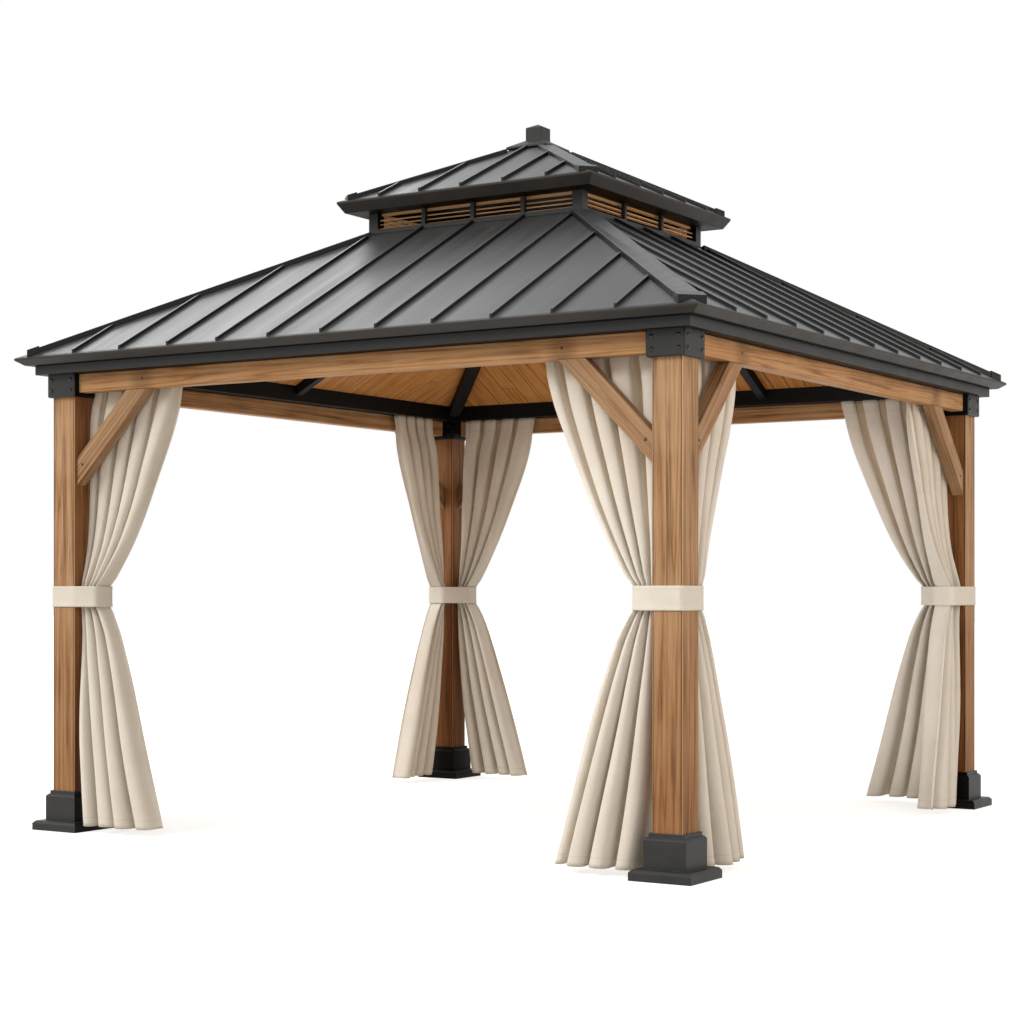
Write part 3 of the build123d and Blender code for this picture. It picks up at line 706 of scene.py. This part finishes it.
def linen_cloth(name, pale, base, shade, through):
    # A matt weave: no gloss, a dry surface with fine crossing threads and a faintly uneven colour.
    material, add = new_material(name)
    uv = add("ShaderNodeUVMap", uv_map="cloth")
    threads = []
    for squeeze in ((1.0, DRAWN, 1.0), (DRAWN, 1.0, 1.0)):
        run = add("ShaderNodeMapping", {"Vector": uv, "Scale": squeeze})
        threads.append(add("ShaderNodeTexNoise", {
            "Vector": run, "Scale": 1 / YARN, "Detail": 2.0, "Roughness": 0.6}))
    weave = add("ShaderNodeMath", threads, operation="ADD")
    fade = add("ShaderNodeTexNoise", {"Vector": uv, "Scale": 4.0, "Detail": 3.0, "Roughness": 0.55})
    ground = add("ShaderNodeValToRGB", [fade], [(0.3, base), (0.7, pale)])
    slub = add("ShaderNodeMapRange", [weave, 0.85, 1.3, 0.0, 0.3])
    woven = add("ShaderNodeMix", {"Factor": slub, "A": ground, "B": linear(shade)}, data_type="RGBA")
    fold = add("ShaderNodeAttribute", attribute_name="fold").outputs["Vector"]
    facing = add("ShaderNodeNewGeometry").outputs["Normal"]
    ridge = add("ShaderNodeVectorMath", [fold, facing], operation="DOT_PRODUCT").outputs["Value"]
    # painted shade, strongest deep in a valley
    valley_shade = add("ShaderNodeMapRange", [ridge, -0.9, -0.05, 0.8, 0.0])
    colour = add("ShaderNodeMix", {"Factor": valley_shade, "A": woven, "B": linear(VALLEY_SHADE)},
                 data_type="RGBA", blend_type="MULTIPLY")
    hanging = add("ShaderNodeMapping", {"Vector": uv, "Scale": (1.0, CREASE_DRAWN, 1.0)})
    creases = add("ShaderNodeTexNoise", {
        "Vector": hanging, "Scale": CREASES, "Detail": 3.0, "Roughness": 0.55})
    crumple = add("ShaderNodeBump", {"Strength": 0.5, "Distance": 0.006, "Height": creases})
    nap = add("ShaderNodeBump", {"Strength": 0.12, "Distance": 0.0005, "Height": weave, "Normal": crumple})
    cloth = add("ShaderNodeBsdfPrincipled", {
        "Base Color": colour, "Roughness": 0.92, "Normal": nap, "Specular IOR Level": 0.12,
        "Sheen Weight": 0.12, "Sheen Roughness": 0.5})
    glow = add("ShaderNodeBsdfTranslucent", {"Color": colour, "Normal": nap})
    both = add("ShaderNodeMixShader", [through, cloth, glow])
    add("ShaderNodeOutputMaterial", {"Surface": both})
    return material


curtain_cloth = linen_cloth("linen_look_polyester", "#F9F5EE", "#F2ECE2", "#E0D7C8", 0.26)
band_cloth = linen_cloth("linen_look_band", "#EAE5DC", "#E3DCD1", "#D2C9BB", 0.05)
print("cloth:", curtain_cloth.name, band_cloth.name)

# %% [markdown]
# ## Curtains
# Each curtain hangs from the rail in about five deep folds, is pulled to its post by a band, and opens
# again below it like a skirt. The folds keep their cloth: where the curtain is narrow they are deep and
# close, where it is wide they are shallow. A cross-section is a row of rounded loops (a wave that also
# leans sideways), and the loops change smoothly from rail to band to hem. Small seeded differences keep the
# eight curtains from being copies. Cloth solvers tend to pull such tied folds loose, so the folds are
# shaped directly.

# %% Guides from rail to hem
def eased(table, z):
    """Smooth value at height z from rows of (height, value), highest first."""
    rows = sorted(table)
    if z <= rows[0][0]:
        return rows[0][1]
    for i in range(len(rows) - 1):
        (z0, v0), (z1, v1) = rows[i], rows[i + 1]
        if z <= z1:
            before = rows[i - 1] if i else rows[i]
            after = rows[i + 2] if i + 2 < len(rows) else rows[i + 1]
            m0 = (v1 - before[1]) / max(1e-6, z1 - before[0])
            m1 = (after[1] - v0) / max(1e-6, after[0] - z0)
            t = (z - z0) / (z1 - z0)
            h = z1 - z0
            return ((2 * t**3 - 3 * t**2 + 1) * v0 + (t**3 - 2 * t**2 + t) * h * m0
                    + (3 * t**2 - 2 * t**3) * v1 + (t**3 - t**2) * h * m1)
    return rows[-1][1]


TOP, HEM, WAIST = 2.1825, 0.030, 1.120
# distances along the side from the post's centre, of the edge near the post and the free edge
NEAR_EDGE = [(2.18, 0.0945), (2.085, 0.0940), (2.03, 0.084), (1.95, 0.0760), (1.60, 0.0750), (1.17, 0.0750),
             (1.07, 0.0755), (0.80, 0.082), (0.45, 0.100), (0.20, 0.128), (0.03, 0.152)]
FREE_EDGE = [(2.18, 0.650), (1.94, 0.586), (1.73, 0.502), (1.52, 0.408), (1.355, 0.318), (1.21, 0.218),
             (1.165, 0.177), (1.075, 0.177), (1.04, 0.200), (0.95, 0.250), (0.85, 0.288), (0.75, 0.322),
             (0.55, 0.384), (0.30, 0.458), (0.10, 0.516), (0.03, 0.535)]
# depth of the folds' middle, inward from the post line, and how far they swing to each side of it
FOLD_MIDDLE = [(2.18, 0.053), (1.64, 0.043), (1.39, 0.036), (1.17, 0.018), (1.07, 0.018), (0.80, 0.006),
               (0.45, -0.008), (0.03, -0.018)]
FOLD_SWING = [(2.18, 0.015), (2.11, 0.014), (2.02, 0.029), (1.80, 0.031), (1.64, 0.026), (1.39, 0.033),
              (1.17, 0.046), (1.07, 0.046), (0.80, 0.054), (0.45, 0.060), (0.03, 0.064)]
print("curtain from", TOP, "to", HEM, "m")

# %% Places of the folds
ACROSS, DOWN = 126, 104   # steps across and down a curtain
UNEVEN = 0.30             # a half-loop is up to this share wider or narrower than the others
ROUNDING = 4              # steps to each side over which the change between half-loops is rounded


def fold_places(seed, halves):
    """Phase of the folds across the cloth: half-loops of unequal width, as hands would set them."""
    pick = random.Random(seed)
    marks = [0.0]
    for _ in range(halves):
        marks.append(marks[-1] + pick.uniform(1 - UNEVEN, 1 + UNEVEN))
    marks = [m / marks[-1] for m in marks]
    sharp = []
    for i in range(ACROSS + 1):
        k = max(j for j in range(halves) if marks[j] <= i / ACROSS + 1e-9)
        sharp.append(math.pi * (k + (i / ACROSS - marks[k]) / (marks[k + 1] - marks[k])))
    soft = list(sharp)
    for i in range(ROUNDING, ACROSS - ROUNDING + 1):
        soft[i] = sum(sharp[i - ROUNDING:i + ROUNDING + 1]) / (2 * ROUNDING + 1)
    return soft


print("points of a curtain:", (ACROSS + 1) * (DOWN + 1))

# %% Folded cloth
BAND_TOP, BAND_REACH = 1.165, 0.09     # where the upper folds give way to the skirt's, over this height
HEADING_FOOT, HEADING_FADE = 2.06, 0.06
TIED_REACH = 0.15                      # height over which the band holds the folds still


def share(value):
    return min(1.0, max(0.0, value))


def curtain_points(seed, near_shift, start, upper_halves, skirt_halves, broad):
    """Rows of (along, inward, height, how far out in its fold) for one curtain, from rail to hem."""
    def drift(x, y, z):
        return noise.noise(Vector((x, y, z)))

    upper, lower = fold_places(seed, upper_halves), fold_places(seed + 50, skirt_halves)
    rows = []
    for j in range(DOWN + 1):
        z = TOP + (HEM - TOP) * j / DOWN
        free = eased(FREE_EDGE, z)
        near = eased(NEAR_EDGE, z) + near_shift[1]
        near += (near_shift[0] - near_shift[1]) * max(0.0, (z - WAIST) / (TOP - WAIST)) ** 0.8
        middle, swing = eased(FOLD_MIDDLE, z), eased(FOLD_SWING, z)
        tied = math.exp(-((z - WAIST) / TIED_REACH) ** 2)
        skirt = max(0.0, (WAIST - z) / WAIST)
        below = share((BAND_TOP - z) / BAND_REACH)
        heading = share((z - HEADING_FOOT) / HEADING_FADE)
        folds = (upper_halves * (1 - below) + skirt_halves * below) / 2
        row = []
        for i in range(ACROSS + 1):
            u = i / ACROSS
            wander = 0.7 * drift(u * 3.0, z * 1.4, seed * 7.3) * (1 - tied) * min(1.0, 8.0 * u)
            phase = upper[i] * (1 - below) + lower[i] * below + wander + start
            life = 0.96 + 0.24 * drift(u * 5.0, z * 1.6, seed * 3.1)
            edge = min(1.0, 0.6 + 0.35 * skirt + 6.0 * u, 0.75 + 0.25 * tied + 6.0 * (1 - u))
            lean = 0.095 + 0.04 * tied + 0.02 * skirt
            loop = lean * math.sin(2 * phase) + broad * (1 - tied) * math.sin(phase)
            along = near + (free - near) * (u + loop / folds * edge)
            depth = middle - swing * life * edge * math.cos(phase)
            depth += 0.004 * heading * math.cos(2 * phase + 0.6 * u)
            depth -= 0.030 * skirt * math.sin(math.pi * u) - 0.012 * skirt
            depth -= 0.022 * tied * max(0.0, 1 - 3 * u)
            depth -= 0.034 * skirt * math.cos(start) * max(0.0, 1 - 4 * u)
            depth += drift(u * 22.0, z * 1.1, seed * 1.7) * (0.0025 + 0.0035 * tied)
            lift = 0.004 * drift(u * 5.0, seed, 1.0) * skirt
            row.append((along, depth, z + lift, min(1.0, 9 * u, 9 * (1 - u)) * math.cos(phase)))
        rows.append(row)
    return rows


def cloth_piece(name, rows, place, thick, material, size):
    """A grid of points becomes one sheet with a UV map in metres, thickness and smooth shading."""
    high, wide = len(rows), len(rows[0])
    verts = [place(p) for row in rows for p in row]
    faces = [(j * wide + i, j * wide + i + 1, (j + 1) * wide + i + 1, (j + 1) * wide + i)
             for j in range(high - 1) for i in range(wide - 1)]
    mesh = bpy.data.meshes.new(name)
    mesh.from_pydata(verts, [], faces)
    mesh.uv_layers.new(name="cloth")
    spots = [(size[0] * i / (wide - 1), size[1] * (1 - j / (high - 1)))
             for j in range(high) for i in range(wide)]
    for loop, spot in zip(mesh.loops, mesh.uv_layers["cloth"].data):
        spot.uv = spots[loop.vertex_index]
    mesh.shade_smooth()
    mesh.materials.append(material)
    piece = put(name, mesh)
    body = piece.modifiers.new("cloth thickness", "SOLIDIFY")
    body.thickness = thick
    body.offset = 0.0
    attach(piece, "root")
    return piece


# %% Eight curtains
CLOTH_WIDTH, CLOTH_LENGTH, CLOTH_THICK = 1.05, 2.155, 0.0012
BROAD = 0.09   # how much broader the outer loops are than the inner ones, or the other way round
# how far the two curtains of the far post stand back from it, at the rail and at the band
SHOWS_POST = {"right_of_back": (0.060, 0.004), "left_of_left": (0.172, 0.040)}
curtain_rows = {}
for s, side in enumerate(SIDES):
    for h, hand in enumerate(("right_of_", "left_of_")):
        name = hand + side
        flip = 1 - 2 * h

        def place(p, quarter=QUARTER[s], flip=flip):
            return quarter @ Vector((flip * (POST_LINE - p[0]), -POST_LINE + p[1], p[2]))

        seed = 11 + 2 * s + h
        if name in SHOWS_POST:
            rows = curtain_points(seed, SHOWS_POST[name], 0.0, 8, 8, -BROAD)
        else:
            start = 0.0 if name == "left_of_front" else math.pi
            broad = BROAD if side in ("front", "right") else -BROAD
            rows = curtain_points(seed, (0.0, 0.0), start, 9, 7, broad)
        curtain_rows[name] = [[place(p) for p in row] for row in rows]
        piece = cloth_piece("cloth_" + name, rows, place, CLOTH_THICK, curtain_cloth,
                            (CLOTH_WIDTH, CLOTH_LENGTH))
        fold = piece.data.attributes.new("fold", "FLOAT_VECTOR", "POINT")
        outward = QUARTER[s] @ Vector((0, -1, 0))
        for item, p in zip(fold.data, (p for row in rows for p in row)):
            item.vector = outward * p[3]
        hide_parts("curtain_" + name)
print("curtains:", len(curtain_rows))

# %% [markdown]
# ## Tie bands
# A flat band of the same cloth, 100 mm high, goes round each post and its two bundles. It is pulled taut,
# so it runs straight between the corners and turns crisply at the post. Its hems are folded over and a
# little thicker.

# %% Path of a band
# corners of the loop, from the middle of the post, and where the rounding of each one starts
LOOP = [(0.070, -0.070), (0.070, 0.070), (0.035, 0.179), (-0.070, 0.179), (-0.179, 0.070), (-0.179, -0.035),
        (-0.070, -0.070)]
TURN = [0.004, 0.006, 0.022, 0.016, 0.016, 0.022, 0.006]
TURN_STEPS, PATH_STEP = 6, 0.012


def band_path():
    """The loop with each corner rounded, as closely spaced points."""
    path = []
    for i, here in enumerate(map(Vector, LOOP)):
        before, after = Vector(LOOP[i - 1]), Vector(LOOP[(i + 1) % len(LOOP)])
        start = here + (before - here).normalized() * TURN[i]
        end = here + (after - here).normalized() * TURN[i]
        for k in range(TURN_STEPS + 1):
            t = k / TURN_STEPS
            path.append((1 - t) ** 2 * start + 2 * t * (1 - t) * here + t ** 2 * end)
    dense = []
    for a, b in zip(path, path[1:] + path[:1]):
        steps = max(1, int((b - a).length / PATH_STEP))
        dense += [a + (b - a) * (k / steps) for k in range(steps)]
    return dense


loop = band_path()
loop_length = sum((a - b).length for a, b in zip(loop, loop[1:] + loop[:1]))
print("band loop", round(loop_length, 3), "m")

# %% Bands round post and bundles
BAND_HALF, BAND_THICK, BAND_OFF = 0.0495, 0.0026, 0.0020
BAND_STEPS, SEWN_ROWS = 24, (3, 21)
HEM_SHARE, HEM_THICK, RIPPLE = 0.13, 0.0008, 0.0007
band_lines = []
for c, corner in enumerate(CORNERS):
    rows = []
    for j in range(BAND_STEPS + 1):
        t = j / BAND_STEPS
        height = WAIST + BAND_HALF * (1 - 2 * t)
        hem = HEM_THICK if t < HEM_SHARE or t > 1 - HEM_SHARE else 0.0
        row = []
        for i in range(len(loop) + 1):
            p = loop[i % len(loop)]
            a, b = loop[i % len(loop) - 1], loop[(i + 1) % len(loop)]
            tangent = (b - a).normalized()
            out = Vector((tangent.y, -tangent.x))
            ripple = RIPPLE * noise.noise(Vector((p.x * 14, p.y * 14 + c * 3.0, t * 2.5)))
            q = p + out * (BAND_OFF + hem + ripple)
            row.append((q.x, q.y, height))
        rows.append(row)
    centre = QUARTER[c] @ Vector((POST_LINE, -POST_LINE, 0))

    def place(p, c=c, centre=centre):
        return QUARTER[c] @ Vector(p) + centre

    band_lines += [[place(p) for p in rows[j]] for j in SEWN_ROWS]
    piece = cloth_piece("band_" + corner, rows, place, BAND_THICK, band_cloth,
                        (loop_length, 2 * BAND_HALF))
    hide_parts("tie_band_" + corner)
print("bands:", len(CORNERS))

# %% [markdown]
# ## Stitching
# A sewn line holds the gathered heading of each curtain about 60 mm below its top, another holds the hem,
# and each band is sewn along both edges. The cloth's own rows of points give the lines, so the thread
# follows every fold: Geometry Nodes space stitches evenly along them. One stitch is a long low-sided bead,
# as there are thousands.

# %% Stitch tree
stitch_tree, add, size = new_tree("stitch_rows", {
    "Spacing": "Float", "Thread Width": "Float", "Stitch Length": "Float", "Thread": "Material"})
line = add("GeometryNodeMeshToCurve", {"Mesh": size["Geometry"]})
spots = add("GeometryNodeCurveToPoints", {"Curve": line, "Length": size["Spacing"]}, mode="LENGTH").outputs
bead = add("GeometryNodeMeshIcoSphere", {"Radius": 0.5, "Subdivisions": 1})
bead_size = add("ShaderNodeCombineXYZ", [size["Thread Width"], size["Thread Width"], size["Stitch Length"]])
row = add("GeometryNodeInstanceOnPoints", {
    "Points": spots["Points"], "Instance": bead, "Rotation": spots["Rotation"], "Scale": bead_size})
plain = add("GeometryNodeRealizeInstances", {"Geometry": row})
smooth = add("GeometryNodeSetShadeSmooth", {"Geometry": plain})
sewn = add("GeometryNodeSetMaterial", {"Geometry": smooth, "Material": size["Thread"]})
add("NodeGroupOutput", {"Geometry": sewn})


def lines_mesh(name, lines):
    """A mesh of open polylines."""
    points, edges = [], []
    for line in lines:
        edges += [(len(points) + i, len(points) + i + 1) for i in range(len(line) - 1)]
        points += [tuple(p) for p in line]
    mesh = bpy.data.meshes.new(name)
    mesh.from_pydata(points, edges, [])
    return mesh


def thread(name, pale, shade):
    # Twisted polyester thread: slightly silky, with a tone that shifts along its length.
    material, add = new_material(name)
    here = add("ShaderNodeTexCoord").outputs["Object"]
    twist = add("ShaderNodeTexNoise", {"Vector": here, "Scale": 260.0, "Detail": 1.0})
    tone = add("ShaderNodeValToRGB", [twist], [(0.35, shade), (0.65, pale)])
    silky = add("ShaderNodeBsdfPrincipled", {
        "Base Color": tone, "Roughness": 0.6, "Specular IOR Level": 0.3, "Sheen Weight": 0.2})
    add("ShaderNodeOutputMaterial", {"Surface": silky})
    return material


print("nodes in the stitch tree:", len(stitch_tree.nodes))

# %% Curtain and band stitching
HEADING_ROW, HEM_ROW = 3, DOWN - 2
STITCH = {"Spacing": 0.009, "Stitch Length": 0.0065}
sewn_lines = [rows[j][2:-2] for rows in curtain_rows.values() for j in (HEADING_ROW, HEM_ROW)]
curtain_seams = grow("curtain_stitching", stitch_tree, {
    **STITCH, "Thread Width": 0.0026, "Thread": thread("curtain_thread", "#CDBFA8", "#B3A48B")},
    lines_mesh("curtain_lines", sewn_lines))
band_seams = grow("band_stitching", stitch_tree, {
    **STITCH, "Thread Width": 0.0024, "Thread": thread("band_thread", "#C9BCA5", "#AFA18A")},
    lines_mesh("band_lines", band_lines))
print("stitch faces:", len(curtain_seams.data.polygons), len(band_seams.data.polygons))

# %% [markdown]
# ## Studio
# The object stands on a plain white floor under a soft white sky, as in a product picture. A broad key
# light comes from the front and a warm lamp from the right. A narrow spot brightens the right post's
# curtains, and a panel behind on the left gives the satin roof something to mirror. The floor takes the
# soft shadow. Camera and glossy rays see the sky and the floor as white, while the light that they give to
# the object stays at a plain level.

# %% Sky and floor
def seen_as_white(add):
    """1 for camera, glossy and transmission rays, 0 for the rays that light the object."""
    path = add("ShaderNodeLightPath").outputs
    mirror = add("ShaderNodeMath", [path["Is Camera Ray"], path["Is Glossy Ray"]], operation="MAXIMUM")
    return add("ShaderNodeMath", [mirror, path["Is Transmission Ray"]], operation="MAXIMUM")


SKY_LOW, SKY_HIGH, SKY_TURN = 0.50, 0.95, 0.75   # level at the horizon and above, and where it stops rising
FLOOR_REACH, FLOOR_GLOW = 60, 0.72
world = bpy.data.worlds.new("soft white studio")
bpy.context.scene.world = world
world.use_nodes = True
world.node_tree.nodes.clear()
add = partial(add_node, world.node_tree)
way = add("ShaderNodeTexCoord").outputs["Generated"]
upward = add("ShaderNodeSeparateXYZ", [way]).outputs["Z"]
overhead = add("ShaderNodeMapRange", [upward, 0.0, SKY_TURN, SKY_LOW, SKY_HIGH])
level = add("ShaderNodeMix", {"Factor": seen_as_white(add), "A": overhead, "B": 1.0}, data_type="FLOAT")
warm = add("ShaderNodeValToRGB", [level], [(SKY_LOW, "#FFEFDD"), (0.85, "#FFFFFF")])
sky = add("ShaderNodeBackground", {"Color": warm, "Strength": level})
add("ShaderNodeOutputWorld", {"Surface": sky})

floor_mesh = bpy.data.meshes.new("floor")
ends = [(-1, -1), (1, -1), (1, 1), (-1, 1)]
floor_mesh.from_pydata([(x * FLOOR_REACH, y * FLOOR_REACH, 0) for x, y in ends], [], [(0, 1, 2, 3)])
floor = put("floor", floor_mesh)
floor_paint, add = new_material("white_studio_floor")
matt = add("ShaderNodeBsdfDiffuse", {"Color": linear("#B9B4AD")})
lift = add("ShaderNodeMapRange", [seen_as_white(add), 0.0, 1.0, 0.0, FLOOR_GLOW])
glow = add("ShaderNodeEmission", {"Color": linear("#FFFFFF"), "Strength": lift})
both = add("ShaderNodeAddShader", [matt, glow])
add("ShaderNodeOutputMaterial", {"Surface": both})
floor_mesh.materials.append(floor_paint)
print("sky", SKY_LOW, "to", SKY_HIGH)

# %% Lamps
def lamp(name, kind, place, aim, **settings):
    light = bpy.data.lights.new(name, kind)
    for key, value in settings.items():
        setattr(light, key, value)
    stand = put(name, light)
    stand.location = place
    stand.rotation_euler = (Vector(aim) - Vector(place)).to_track_quat("-Z", "Y").to_euler()


lamp("key", "SUN", (0, 0, 0), (0.42, 0.62, -0.66), energy=2.0, angle=math.radians(35),
     color=linear("#FFFAF2")[:3])
lamp("side", "AREA", (7.2, -0.6, 3.2), (1.6, 0.0, 1.3), energy=95.0, shape="RECTANGLE", size=4.0, size_y=3.0,
     color=linear("#FFEBD3")[:3])
lamp("fill", "SPOT", (-1.2, -9.0, 1.3), (1.25, 1.62, 1.1), energy=1700.0, spot_size=math.radians(13),
     spot_blend=0.6, shadow_soft_size=0.3)
lamp("panel", "AREA", (-8.8, 5.1, 8.4), (0, 0, 2.6), energy=290.0, shape="RECTANGLE", size=6.0, size_y=4.5)
print("lamps:", [light.name for light in bpy.data.lights])

# %% [markdown]
# ## Camera
# The picture was taken from about chest height, from the right of the front side, with the camera held
# level: upright posts stay parallel, and a vertical shift brings the roof into the frame. Place and focal
# length come from matching the corners of the posts, eaves and cupola.

# %% Camera
camera = bpy.data.cameras.new("camera")
camera.sensor_width = 36.0
camera.lens = 71.91
camera.shift_y = 0.0755
camera.clip_end = 200.0
eye = put("camera", camera)
eye.location = (5.397, -8.883, 1.155)
eye.rotation_euler = (math.pi / 2, 0, math.radians(32.01))
bpy.context.scene.camera = eye
bpy.context.scene.view_settings.view_transform = "Standard"
print("camera", tuple(round(v, 3) for v in eye.location))
